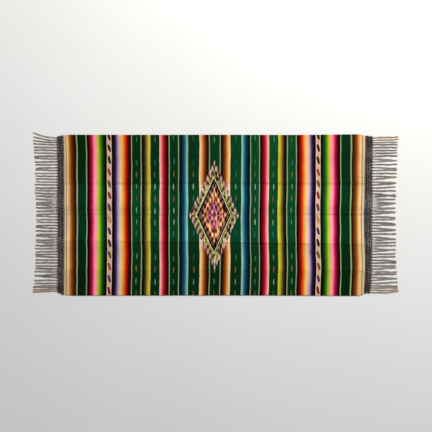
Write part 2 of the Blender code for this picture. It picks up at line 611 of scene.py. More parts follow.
    def origin_step(self) -> Vector:
        """The step from the middle of the web to the frame's origin.

        Returns:
            The step, read from where the frame holds the left tips and the back corner.
        """
        low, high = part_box("left_fringe")
        reach = max(row.left_web + row.left_net + row.left_fringe for row in ENDS)
        return Vector((low.x + reach, high.y - SIDES[0].back, 0.0))


class Signal:
    """A socket's value, so that shader maths reads as an expression."""

    def __init__(self, board: "Board", socket: bpy.types.NodeSocket) -> None:
        """Wraps one output socket of a board's node."""
        self.board = board
        self.socket = socket

    def __add__(self, other: "Signal | float") -> "Signal":
        """The sum."""
        return self.board.maths("ADD", self, other)

    def __radd__(self, other: float) -> "Signal":
        """The sum, from the right."""
        return self.board.maths("ADD", other, self)

    def __sub__(self, other: "Signal | float") -> "Signal":
        """The difference."""
        return self.board.maths("SUBTRACT", self, other)

    def __rsub__(self, other: float) -> "Signal":
        """The difference, from the right."""
        return self.board.maths("SUBTRACT", other, self)

    def __mul__(self, other: "Signal | float") -> "Signal":
        """The product."""
        return self.board.maths("MULTIPLY", self, other)

    def __rmul__(self, other: float) -> "Signal":
        """The product, from the right."""
        return self.board.maths("MULTIPLY", other, self)

    def __truediv__(self, other: "Signal | float") -> "Signal":
        """The quotient."""
        return self.board.maths("DIVIDE", self, other)

    def __gt__(self, other: "Signal | float") -> "Signal":
        """1 where this is the greater, and 0 elsewhere."""
        return self.board.maths("GREATER_THAN", self, other)

    def __abs__(self) -> "Signal":
        """The size without its sign."""
        return self.board.maths("ABSOLUTE", self)

    def sine(self) -> "Signal":
        """The sine of an angle in radians."""
        return self.board.maths("SINE", self)

    def floor(self) -> "Signal":
        """The whole number below."""
        return self.board.maths("FLOOR", self)

    def remainder(self, size: float) -> "Signal":
        """What is left over after whole steps of a size, never below 0."""
        return self.board.maths("FLOORED_MODULO", self, size)

    def least(self, other: "Signal | float") -> "Signal":
        """The smaller of the two."""
        return self.board.maths("MINIMUM", self, other)

    def rising(self, low: float, high: float) -> "Signal":
        """A share from 0 at low to 1 at high, held at both ends."""
        span = high - low
        return self.board.maths("MULTIPLY_ADD", self, 1.0 / span, -low / span, use_clamp=True)


class Board:
    """One material's nodes."""

    def __init__(self, name: str) -> None:
        """Starts a material with its surface shader.

        Args:
            name: the material's name.
        """
        self.material = bpy.data.materials.new(name)
        self.material.use_nodes = True
        self.tree = self.material.node_tree
        self.tree.nodes.clear()
        self.surface = self.node("ShaderNodeBsdfPrincipled", {}, {})
        self.node("ShaderNodeOutputMaterial", {}, {"Surface": Signal(self, self.surface.outputs[0])})

    def node(self, kind: str, settings: dict[str, Any], inputs: dict[str | int, Any]) -> bpy.types.Node:
        """Adds a node.

        Args:
            kind: the node's type.
            settings: its own settings, which are set first; stops fills a colour ramp.
            inputs: a value or a Signal for each socket, by name or number.

        Returns:
            The new node.
        """
        made = self.tree.nodes.new(kind)
        for name, value in settings.items():
            if name == "stops":
                self.fill_ramp(made.color_ramp, value)
            elif name == "interpolation":
                made.color_ramp.interpolation = value
            else:
                setattr(made, name, value)
        for name, value in inputs.items():
            if isinstance(value, Signal):
                self.tree.links.new(value.socket, made.inputs[name])
            else:
                made.inputs[name].default_value = value
        return made

    @staticmethod
    def fill_ramp(ramp: bpy.types.ColorRamp, stops: Sequence[tuple[float, Colour]]) -> None:
        """Sets a ramp's stops.

        Args:
            ramp: the ramp.
            stops: a place and a colour for each stop, in rising order of place.
        """
        while len(ramp.elements) > 1:
            ramp.elements.remove(ramp.elements[-1])
        ramp.elements[0].position, ramp.elements[0].color = stops[0]
        for place, colour in stops[1:]:
            ramp.elements.new(place).color = colour

    def maths(self, operation: str, *values: "Signal | float", use_clamp: bool = False) -> Signal:
        """A Math node's result.

        Args:
            operation: the Math node's operation.
            *values: its inputs in order.
            use_clamp: whether the result is held between 0 and 1.

        Returns:
            The result.
        """
        settings = {"operation": operation, "use_clamp": use_clamp}
        return Signal(self, self.node("ShaderNodeMath", settings, dict(enumerate(values))).outputs[0])

    def blend(self, under: "Signal | Colour", over: "Signal | Colour", share: "Signal | float") -> Signal:
        """Two colours mixed: all of the first at 0, and all of the second at 1."""
        mix = self.node("ShaderNodeMix", {"data_type": "RGBA"}, {0: share, 6: under, 7: over})
        return Signal(self, mix.outputs[2])

    def tinted(self, colour: Signal, tint: Signal) -> Signal:
        """A colour multiplied by another."""
        settings = {"data_type": "RGBA", "blend_type": "MULTIPLY"}
        return Signal(self, self.node("ShaderNodeMix", settings, {0: 1.0, 6: colour, 7: tint}).outputs[2])

    def greenness(self, colour: Signal) -> Signal:
        """How nearly a colour is one of the deep greens.

        Args:
            colour: the colour.

        Returns:
            From 0, where it is pale or another hue, to 1.
        """
        apart = self.node("ShaderNodeSeparateColor", {}, {0: colour})
        red, green, blue = (Signal(self, part) for part in apart.outputs[:3])
        return (green / (red + blue + 0.002)).rising(1.15, 1.60) * (1.0 - green.rising(0.07, 0.11))

    def slipped(self, place: Signal, rows: Sequence[Slip]) -> Signal:
        """How far the weaving has slipped, read from a table by way of a grey ramp.

        Args:
            place: the place, from -1 m to 1 m.
            rows: the table, in rising order of place.

        Returns:
            The slip, in metres.
        """
        most = 10.0
        greys = [(row.slip_mm + most) / (2.0 * most) for row in rows]
        stops = [((row.place + 1.0) / 2.0, (grey, grey, grey, 1.0)) for row, grey in zip(rows, greys)]
        return self.ramp(place * 0.5 + 0.5, stops) * (2.0 * most * MM) - most * MM

    def tint(self, place: Signal, rows: Sequence[TintStop]) -> Signal:
        """The tint of the cloth at a place from -1 m to 1 m, read from a table."""
        return self.ramp(place * 0.5 + 0.5, [((row.place + 1.0) / 2.0, dyed(row.tint)) for row in rows])

    def shaded(self, colour: Signal, level: Signal) -> Signal:
        """A colour multiplied by a level of brightness."""
        scaled = self.node("ShaderNodeVectorMath", {"operation": "SCALE"}, {0: colour, 3: level})
        return Signal(self, scaled.outputs[0])

    def point(self, x: "Signal | float", y: "Signal | float", z: "Signal | float" = 0.0) -> Signal:
        """Three numbers as a vector."""
        return Signal(self, self.node("ShaderNodeCombineXYZ", {}, {0: x, 1: y, 2: z}).outputs[0])

    def noise(self, place: Signal, detail: float = 2.0) -> Signal:
        """Soft noise from 0 to 1, with lumps about one unit apart at the given place."""
        inputs = {"Vector": place, "Scale": 1.0, "Detail": detail, "Roughness": 0.5}
        return Signal(self, self.node("ShaderNodeTexNoise", {}, inputs).outputs[0])

    def lumps(
        self,
        x: Signal,
        y: "Signal | float",
        per_metre: tuple[float, float],
        layer: float,
        detail: float = 2.0,
    ) -> Signal:
        """Soft noise with so many lumps to each metre along and across, different on each layer."""
        return self.noise(self.point(x * per_metre[0], y * per_metre[1], layer), detail)

    def chance(self, place: Signal) -> Signal:
        """A number from 0 to 1 that is different for each whole place."""
        return Signal(self, self.node("ShaderNodeTexWhiteNoise", {}, {"Vector": place}).outputs[0])

    def ramp(self, share: Signal, stops: Sequence[tuple[float, Colour]], kind: str = "LINEAR") -> Signal:
        """The colour at a share of the way along some stops."""
        settings = {"interpolation": kind, "stops": stops}
        return Signal(self, self.node("ShaderNodeValToRGB", settings, {0: share}).outputs[0])

    def map_place(self, map_name: str) -> tuple[Signal, Signal]:
        """The place on the piece's own map.

        Args:
            map_name: the map's name.

        Returns:
            Its two numbers, each from 0 to 1.
        """
        place = self.node("ShaderNodeUVMap", {"uv_map": map_name}, {})
        apart = self.node("ShaderNodeSeparateXYZ", {}, {0: Signal(self, place.outputs[0])})
        return Signal(self, apart.outputs[0]), Signal(self, apart.outputs[1])

    def attribute(self, name: str) -> Signal:
        """One number that the piece's mesh holds at each point."""
        held = self.node("ShaderNodeAttribute", {"attribute_type": "GEOMETRY", "attribute_name": name}, {})
        return Signal(self, held.outputs["Fac"])

    def object_place(self) -> Signal:
        """The place in the serape's own frame."""
        return Signal(self, self.node("ShaderNodeTexCoord", {}, {}).outputs["Object"])

    def finish(
        self, colour: Signal, height: Signal, bump: float, rough: "Signal | float", shine: float
    ) -> None:
        """Joins the colour, the relief and the sheen to the surface shader.

        Args:
            colour: the base colour.
            height: the relief, in metres.
            bump: the share of the relief that shows.
            rough: the roughness.
            shine: the level of the specular reflection.
        """
        relief = self.node("ShaderNodeBump", {}, {"Strength": bump, "Distance": 1.0, "Height": height})
        values = {"Base Color": colour, "Roughness": rough, "Normal": Signal(self, relief.outputs[0])}
        for name, value in values.items():
            if isinstance(value, Signal):
                self.tree.links.new(value.socket, self.surface.inputs[name])
            else:
                self.surface.inputs[name].default_value = value
        self.surface.inputs["Specular IOR Level"].default_value = shine
        self.surface.inputs["Sheen Weight"].default_value = 0.03
        self.surface.inputs["Sheen Roughness"].default_value = 0.25


@dataclass(frozen=True)
class StripedWool:
    """The web's finish: mirrored stripes of dyed weft, rows of dashes and beads, and the middle lozenge.

    A half is half a width and half a height, and a drift is how far a row wanders. A dash strays within a
    strip dash_aside wide, with a draw for each of dash_cells to the metre. A lag is how far an odd column of
    the lozenge trails an even one, and the outline's share and half are shares of the way out to its edge.
    """

    lay: Lay
    weft_step: float = 0.0064
    weft_squareness: float = 0.30
    edge_blur: float = 0.0004
    stripe_waver: float = 0.0075
    edge_waver: float = 0.0022
    row_pitch: float = 0.0757
    dash_top: float = 0.5238
    dash_half: tuple[float, float] = (0.0041, 0.0215)
    dash_drift: float = 0.030
    dash_aside: float = 0.005
    dash_cells: float = 16.0
    bead_top: float = 0.5400
    bead_half: tuple[float, float] = (0.0096, 0.0266)
    bead_drift: float = 0.010
    bead_slant: float = 0.22
    lozenge_half: tuple[float, float] = (0.160, 0.351)
    lozenge_step: float = 0.00762
    lozenge_squareness: float = 0.8
    ring_slip: float = 0.024
    tick_length: float = 0.078
    tick_lag: float = 0.022
    tick_waver: float = 0.006
    edge_lag: float = 0.030
    outline_share: float = 0.695
    outline_half: float = 0.019
    outline_aside: float = 0.0022
    outline_weft: str = "DCCB9C"
    rib_pitch: float = 0.0034
    rib_height: float = 0.00035
    pick_pitch: float = 0.0016
    pick_height: float = 0.00012
    fuzz_height: float = 0.0004
    wear_dulling: float = 0.15

    def stops(self, bands: Sequence[Band], start: float, length: float) -> list[tuple[float, Colour]]:
        """The ramp stops of some neighbouring bands.

        Args:
            bands: the bands, from the middle outwards.
            start: where the first begins, from the middle.
            length: their whole width.

        Returns:
            The stops, with their places as shares of that width.
        """
        made: list[tuple[float, Colour]] = []
        at = start
        for band in bands:
            width = band.width_mm * MM
            tones = band.shade.value[:: band.order.value]
            if len(tones) == 1:
                tones = tones * 2
            for number, code in enumerate(tones):
                share = number / (len(tones) - 1)
                place = at + self.edge_blur + share * (width - 2.0 * self.edge_blur)
                made.append(((place - start) / length, dyed(code)))
            at += width
        return made

    def stripes(self, board: Board, out: Signal) -> Signal:
        """The stripes, from as few ramps as hold their stops.

        Args:
            board: the web's board.
            out: the distance from the middle of the web.

        Returns:
            The stripes' colour.
        """
        most_stops = 32
        colour: Signal | None = None
        group: list[Band] = []
        start = at = 0.0
        for band in (*BANDS, None):
            length = at - start
            if band is None or len(self.stops([*group, band], start, 1.0)) > most_stops:
                ramp = board.ramp((out - start) / length, self.stops(group, start, length))
                colour = ramp if colour is None else board.blend(colour, ramp, out > start)
                group, start = [], at
            if band is not None:
                group.append(band)
                at += band.width_mm * MM
        return colour

    def band_middles(self) -> list[float]:
        """Where the rows of dashes run.

        Returns:
            How far the middle of each dashed band is from the middle of the web.
        """
        middles = []
        at = 0.0
        for band in BANDS:
            if band.dashed:
                middles.append(at + band.width_mm * MM / 2.0 if at > 0.0 else 0.0)
            at += band.width_mm * MM
        return middles

    def bead_middle(self) -> float:
        """Where the beads run.

        Returns:
            How far the middle of the beaded band is from the middle of the web.
        """
        at = 0.0
        for band in BANDS:
            if band.shade is Shade.FLESH:
                return at + band.width_mm * MM / 2.0
            at += band.width_mm * MM
        return at

    def row_colour(self, board: Board, row: Signal, wefts: Sequence[str]) -> Signal:
        """The weft of a row of dashes or beads, which takes the next one in turn."""
        stops = [(number / len(wefts), dyed(code)) for number, code in enumerate(wefts)]
        return board.ramp((row + 0.5) / len(wefts), stops, "CONSTANT")

    def dashes(self, board: Board, under: Signal, x: Signal, y: Signal) -> Signal:
        """The small upright dashes along the middle of each green band.

        Args:
            board: the web's board.
            under: the stripes' colour.
            x: the place along the web, as the stripes have it.
            y: the place across it.

        Returns:
            The colour with the dashes.
        """
        half_width, half_height = self.dash_half
        down = self.dash_top - y + self.dash_drift * (board.lumps(abs(x), y, (9.0, 3.5), 6.0, 0.0) - 0.5)
        row = (down / self.row_pitch).floor()
        up = down - (row + 0.5) * self.row_pitch
        cell = (x * self.dash_cells).floor()
        slip = board.chance(board.point(cell, row, 3.0))
        out = abs(x + self.dash_aside * slip - self.dash_aside / 2.0)
        off = abs(out - self.band_middles()[0])
        for middle in self.band_middles()[1:]:
            off = off.least(abs(out - middle))
        across, along = off / half_width, up / half_height
        shape = 1.0 - (across * across + along * along).rising(0.55, 1.0)
        faint = 0.22 + 0.62 * board.chance(board.point(cell, row, 9.0))
        return board.blend(under, self.row_colour(board, row, DASH_WEFTS), shape * faint)

    def beads(self, board: Board, under: Signal, x: Signal, y: Signal) -> Signal:
        """The slanted beads along the flesh-coloured band, which lean the same way on both sides.

        Args:
            board: the web's board.
            under: the colour of the stripes and dashes.
            x: the place along the web, as the stripes have it.
            y: the place across it.

        Returns:
            The colour with the beads.
        """
        half_width, half_height = self.bead_half
        down = self.bead_top - y + self.bead_drift * (board.lumps(x, y, (4.0, 9.0), 8.0, 0.0) - 0.5)
        row = (down / self.row_pitch).floor()
        up = (row + 0.5) * self.row_pitch - down
        side = (x > 0.0) * 2.0 - 1.0
        off = x - side * self.bead_middle() + self.bead_slant * up
        across, along = off / half_width, up / half_height
        shape = 1.0 - (across * across + abs(along * along * along)).rising(0.70, 1.0)
        return board.blend(under, self.row_colour(board, row, BEAD_WEFTS), shape * 0.98)

    def lozenge(self, board: Board, under: Signal, x: Signal, y: Signal) -> Signal:
        """The middle lozenge: stepped rings of upright ticks round a plain diagonal outline.

        Args:
            board: the web's board.
            under: the colour of the stripes, dashes and beads.
            x: the place along the web.
            y: the place across it.

        Returns:
            The colour with the lozenge.
        """
        half_width, half_height = self.lozenge_half
        column = abs(x) / self.lozenge_step
        stepped = column - self.lozenge_squareness / math.tau * (column * math.tau).sine()
        parity = (column + 0.5).floor().remainder(2.0)
        reach = abs(y) / half_height
        slot = (x / self.lozenge_step + 0.5).floor()
        slip = board.chance(board.point(slot, y > 0.0, 4.0)) - 0.5
        ring = stepped * (self.lozenge_step / half_width) + reach + self.ring_slip * slip
        even = board.ramp(ring, [(row.start, dyed(row.even)) for row in RINGS], "CONSTANT")
        odd = board.ramp(ring, [(row.start, dyed(row.odd)) for row in RINGS], "CONSTANT")
        length = ((ring - self.tick_lag * parity) / self.tick_length + 0.5).floor()
        tick = board.point(slot, length, y > 0.0)
        swapped = board.chance(tick) > 0.93
        colour = board.blend(even, odd, abs(abs(parity - length.remainder(2.0)) - swapped))
        colour = board.shaded(colour, 0.72 + 0.50 * board.chance(tick))
        straight = abs(x + self.outline_aside) / half_width + reach
        outline = 1.0 - abs(straight - self.outline_share).rising(self.outline_half * 0.7, self.outline_half)
        colour = board.blend(colour, dyed(self.outline_weft), outline)
        return board.blend(under, colour, 1.0 - (ring + self.edge_lag * parity).rising(0.996, 1.004))

    @staticmethod
    def beaten_up(board: Board, x: Signal) -> Signal:
        """How far the stripes have come in, because the weaver beat some stretches a little closer."""
        return board.slipped(x, BEATEN_UP)

    @staticmethod
    def sagged(board: Board, x: Signal, y: Signal) -> Signal:
        """How far the stripes near the ends lean to the left, which changes from the front edge to the back.

        Args:
            board: the web's board.
            x: the place along the web.
            y: the place across it.

        Returns:
            The lean, in metres.
        """
        leftwards = 0.0 - x
        right = board.slipped(y, RIGHT_SAG) * (x.rising(0.46, 0.62) - x.rising(0.84, 0.90))
        left = board.slipped(y, LEFT_SAG) * (leftwards.rising(0.885, 0.902) - leftwards.rising(0.925, 0.947))
        return right + left

    @staticmethod
    def faded(board: Board, colour: Signal, x: Signal, y: Signal) -> Signal:
        """The colour with painted light and shade on each panel between the fold lines, in which the deep
        greens differ most.

        Args:
            board: the web's board.
            colour: the colour as it was dyed.
            x: the place along the web.
            y: the place across it.

        Returns:
            The colour with its painted light and shade.
        """
        line = y + 0.011 * x + 0.006 * (board.lumps(x, 0.0, (6.0, 0.0), 15.0, 1.0) - 0.5)
        pale = board.tint(line, PALE_PANEL_LIGHT)
        green = board.tinted(board.tint(line, GREEN_PANEL_SHADE), board.tint(x, GREEN_TINT_ALONG))
        behind = board.tinted(green, board.tint(x, GREEN_BACK_SHADE))
        green = board.blend(green, behind, line.rising(0.186, 0.206))
        cool = board.lumps(x, y, (30.0, 4.0), 12.0, 1.0).rising(0.35, 0.65)
        mottled = board.blend((1.12, 0.98, 0.86, 1.0), (0.94, 1.04, 1.30, 1.0), cool)
        return board.tinted(colour, board.blend(pale, board.tinted(green, mottled), board.greenness(colour)))

    def dress(self, piece: bpy.types.Object) -> None:
        """Gives the web its material.

        Args:
            piece: the web, with its own map from 0 to 1 each way.
        """
        board = Board("striped_wool")
        u, v = board.map_place("weave")
        x = (u - 0.5) * (2.0 * self.lay.half_length)
        y = (v - 0.5) * (2.0 * self.lay.half_width)
        slow = board.lumps(x, y, (5.0, 7.0), 1.0, 1.0) - 0.5
        quick = board.lumps(x, y, (40.0, 30.0), 5.0, 1.0) - 0.5
        side = (x > 0.0) * 2.0 - 1.0
        beaten = side * self.beaten_up(board, x) + self.sagged(board, x, y)
        woven_x = x + beaten + self.stripe_waver * slow + self.edge_waver * quick
        out = abs(woven_x)
        swing = self.weft_squareness * self.weft_step / math.tau
        stepped = out - swing * (out * (math.tau / self.weft_step)).sine()
        colour = self.stripes(board, stepped)
        colour = self.dashes(board, colour, woven_x, y)
        colour = self.beads(board, colour, woven_x, y)
        tick_x = x + self.edge_waver * quick
        tick_y = y + self.tick_waver * (board.lumps(x, y, (90.0, 60.0), 7.0, 1.0) - 0.5)
        colour = self.lozenge(board, colour, tick_x, tick_y)
        weft = board.lumps(x, y, (700.0, 9.0), 2.0)
        streak = board.lumps(x, y, (130.0, 3.0), 3.0)
        patch = board.lumps(x, y, (6.0, 5.0), 4.0)
        # Painted light and shade, panel by panel between the fold lines and darker towards the edges.
        colour = self.faded(board, colour, x, y)
        # Painted shade along the fold lines, from the crease shade that each point of the mesh holds.
        crease_shaded = 1.0 - self.wear_dulling * board.attribute("wear")
        colour = board.shaded(colour, (0.42 + 0.36 * weft + 0.66 * streak + 0.34 * patch) * crease_shaded)
        rib = abs((y * (math.pi / self.rib_pitch)).sine())
        pick = (x * (math.tau / self.pick_pitch) + (y / self.rib_pitch).floor() * math.pi).sine()
        height = self.rib_height * rib + self.pick_height * pick + self.fuzz_height * weft
        board.finish(colour, height, 0.9, 0.80 + 0.14 * weft, 0.035)
        piece.data.materials.append(board.material)


@dataclass(frozen=True)
class WarpYarn:
    """The finish of warp ends: plied grey-brown yarn, each with its own tone, and warmer at its tip."""

    name: str
    dark: str
    light: str
    warm: str
    turns: float
    tip_warm: float

    def dress(self, piece: bpy.types.Object) -> None:
        """Gives a piece of yarns its material.

        Args:
            piece: yarns that each have a map from 0 to 1 along and around, and a tone.
        """
        board = Board(self.name)
        along, around = board.map_place("yarn")
        tone = board.attribute("tone")
        fibre = board.noise(self.fibre_place(board), 2.0)
        light = (tone.least(1.0) * 0.75 + 0.5 * fibre - 0.25).rising(0.0, 1.0)
        ply = abs(((along * self.turns + around) * math.pi).sine())
        colour = board.blend(dyed(self.dark), dyed(self.light), light)
        colour = board.blend(colour, dyed(self.warm), self.tip_warm * along + tone.rising(1.0, 2.0))
        # Painted shade in the grooves between the plies.
        colour = board.shaded(colour, 0.62 + 0.45 * ply)
        board.finish(colour, 0.0005 * ply + 0.0002 * fibre, 0.8, 0.85 + 0.1 * fibre, 0.06)
        piece.data.materials.append(board.material)

    @staticmethod
    def fibre_place(board: Board) -> Signal:
        """The piece's place, scaled less along the warp so that the noise looks like fibres."""
        inputs = {"Vector": board.object_place(), "Scale": (160.0, 900.0, 900.0)}
        return Signal(board, board.node("ShaderNodeMapping", {}, inputs).outputs[0])


class Yarn(NamedTuple):
    """One yarn: its middle line and radius at a share of its length, its number of rings, and its tone."""

    path: Callable[[float], Vector]
    radius: Callable[[float], float]
    rings: int
    tone: float


@dataclass
class YarnMesh:
    """A joined mesh of yarns, each a closed tube laid along its own path."""

    name: str
    sides: int = 6
    yarns: list[Yarn] = field(default_factory=list)

    def lay_yarn(
        self, path: Callable[[float], Vector], radius: float, rings: int, tone: float, thin: float
    ) -> None:
        """Lays one yarn.

        Args:
            path: the middle of the yarn at a share of its length.
            radius: its radius.
            rings: how many stretches it is made of.
            tone: how light it is, from 0 to 1, or how warm it is, from 1 to 2.
            thin: the share of its radius that it loses at its tip.
        """

        def thinned(share: float) -> float:
            """The radius, which shrinks over the last eighth of the yarn."""
            return radius * (1.0 - thin * eased(8.0 * share - 7.0))

        self.yarns.append(Yarn(path, thinned, rings, tone))

    def tie_knot(self, middle: Vector, turn: float, size: float, tone: float) -> None:
        """Ties one small knot, as a short yarn that winds round its own line.

        Args:
            middle: its middle.
            turn: how far its line is turned about the vertical, from the X axis.
            size: half its length.
            tone: how light it is, from 0 to 1.
        """
        line = Vector((math.cos(turn), math.sin(turn), 0.0)) * size * 0.62
        aside = Vector((-math.sin(turn), math.cos(turn), 0.0)) * size * 0.46

        def path(share: float) -> Vector:
            """The winding yarn's middle line.

            Args:
                share: the share of its length.

            Returns:
                The place there.
            """
            angle = 1.7 * math.tau * share
            up = Vector((0.0, 0.0, size * 0.30 * math.sin(angle)))
            return middle + line * (2.0 * share - 1.0) + aside * math.cos(angle) + up

        self.yarns.append(Yarn(path, lambda share: size * 0.44, 12, tone))

    def make_tubes(self, bm: bmesh.types.BMesh, yarns: Sequence[Yarn]) -> None:
        """Makes the tubes of some yarns with the same number of rings, each from its own strip of one grid.

        Args:
            bm: the mesh that they go in, with its map and its tone.
            yarns: the yarns.
        """
        rings, strip = yarns[0].rings, self.sides + 1
        last_row = strip * len(yarns) - 1
        grid = bmesh.ops.create_grid(bm, x_segments=rings, y_segments=last_row, size=0.5)
        places = {}
        for vert in grid["verts"]:
            places[vert] = (round((vert.co.x + 0.5) * rings), round((vert.co.y + 0.5) * last_row))
        between = []
        for face in {face for vert in places for face in vert.link_faces}:
            face.smooth = True
            if len({places[vert][1] // strip for vert in face.verts}) > 1:
                between.append(face)
        bmesh.ops.delete(bm, geom=between, context="FACES")
        uv, tone = bm.loops.layers.uv["yarn"], bm.verts.layers.float["tone"]
        middles = [[yarn.path(at / rings) for at in range(rings + 1)] for yarn in yarns]
        for vert, (at, row) in places.items():
            number, side = divmod(row, strip)
            line = middles[number]
            ahead = line[min(at + 1, rings)] - line[max(at - 1, 0)]
            aside = ahead.cross(Vector((0.0, 0.0, 1.0))).normalized()
            above = aside.cross(ahead).normalized()
            radius = 0.0 if at in (0, rings) else yarns[number].radius(at / rings)
            angle = math.tau * side / self.sides
            vert.co = line[at] + (aside * math.cos(angle) + above * math.sin(angle)) * radius
            vert[tone] = yarns[number].tone
            for loop in vert.link_loops:
                loop[uv].uv = (at / rings, side / self.sides)

    def finished(self, step: Vector) -> bpy.types.Object:
        """Makes the yarns, closes them and makes them an object.

        Args:
            step: the step from the middle of the web to the frame's origin.

        Returns:
            The object.
        """
        bm = bmesh.new()
        bm.loops.layers.uv.new("yarn")
        bm.verts.layers.float.new("tone")
        for rings in sorted({yarn.rings for yarn in self.yarns}):
            self.make_tubes(bm, [yarn for yarn in self.yarns if yarn.rings == rings])
        bmesh.ops.remove_doubles(bm, verts=bm.verts[:], dist=1e-6)
        bmesh.ops.recalc_face_normals(bm, faces=bm.faces[:])
        bmesh.ops.translate(bm, vec=step, verts=bm.verts[:])
        mesh = bpy.data.meshes.new(self.name)
        bm.to_mesh(mesh)
        bm.free()
        piece = bpy.data.objects.new(self.name, mesh)
        bpy.context.scene.collection.objects.link(piece)
        return piece


@dataclass
class WovenWeb:
    """The web: one thin shell with its folds, creases and selvedges."""

    lay: Lay
    finish: StripedWool
    wall: float = 0.002
    rim_share: float = 0.3
    columns: int = 230
    coarse_row: float = 0.0085
    fine_row: float = 0.0026
    fine_reach: float = 1.7

    def rows(self) -> list[float]:
        """Places across the web for its rows of points.

        Returns:
            The places, front to back, closer together at the fold lines.
        """
        half = self.lay.half_width
        reaches = [(crease.y, self.fine_reach * crease.half_width + abs(crease.slant)) for crease in CREASES]
        rows = [-half]
        while True:
            near = any(abs(rows[-1] - place) < reach for place, reach in reaches)
            step = self.fine_row if near else self.coarse_row
            if rows[-1] + 1.5 * step > half:
                return [*rows, half]
            rows.append(rows[-1] + step)

    def build(self, step: Vector) -> bpy.types.Object:
        """Makes the web.

        Args:
            step: the step from the middle of the web to the frame's origin.

        Returns:
            The finished web.
        """
        rows = self.rows()
        bm = bmesh.new()
        weave = bm.loops.layers.uv.new("weave")
        wear = bm.verts.layers.float.new("wear")
        bmesh.ops.create_grid(bm, x_segments=self.columns, y_segments=len(rows) - 1, size=0.5)
        for vert in bm.verts:
            vert.co.y = rows[round((vert.co.y + 0.5) * (len(rows) - 1))] / (2.0 * self.lay.half_width)
        for face in bm.faces:
            face.smooth = True
            for loop in face.loops:
                loop[weave].uv = (loop.vert.co.x + 0.5, loop.vert.co.y + 0.5)
        for vert in bm.verts:
            y = vert.co.y * 2.0 * self.lay.half_width
            low = -self.lay.depth(End.LEFT, "web", y)
            high = self.lay.depth(End.RIGHT, "web", y)
            x = low + (vert.co.x + 0.5) * (high - low)
            y = self.lay.across(x, y)
            # Each point holds how much painted shade darkens the cloth along the fold lines.
            vert[wear] = self.lay.crease_wear(x, y)
            vert.co = Vector((x, y, self.lay.height(x, y))) + step
        mesh = bpy.data.meshes.new("wool_web")
        bm.to_mesh(mesh)
        bm.free()
        piece = bpy.data.objects.new("wool_web", mesh)
        bpy.context.scene.collection.objects.link(piece)
        shell = piece.modifiers.new("wall", "SOLIDIFY")
        shell.thickness = self.wall
        shell.offset = 1.0
        rim = piece.modifiers.new("rim", "BEVEL")
        rim.width = self.wall * self.rim_share
        rim.segments = 2
        rim.limit_method = "ANGLE"
        rim.angle_limit = math.radians(60.0)
        self.finish.dress(piece)
        return piece


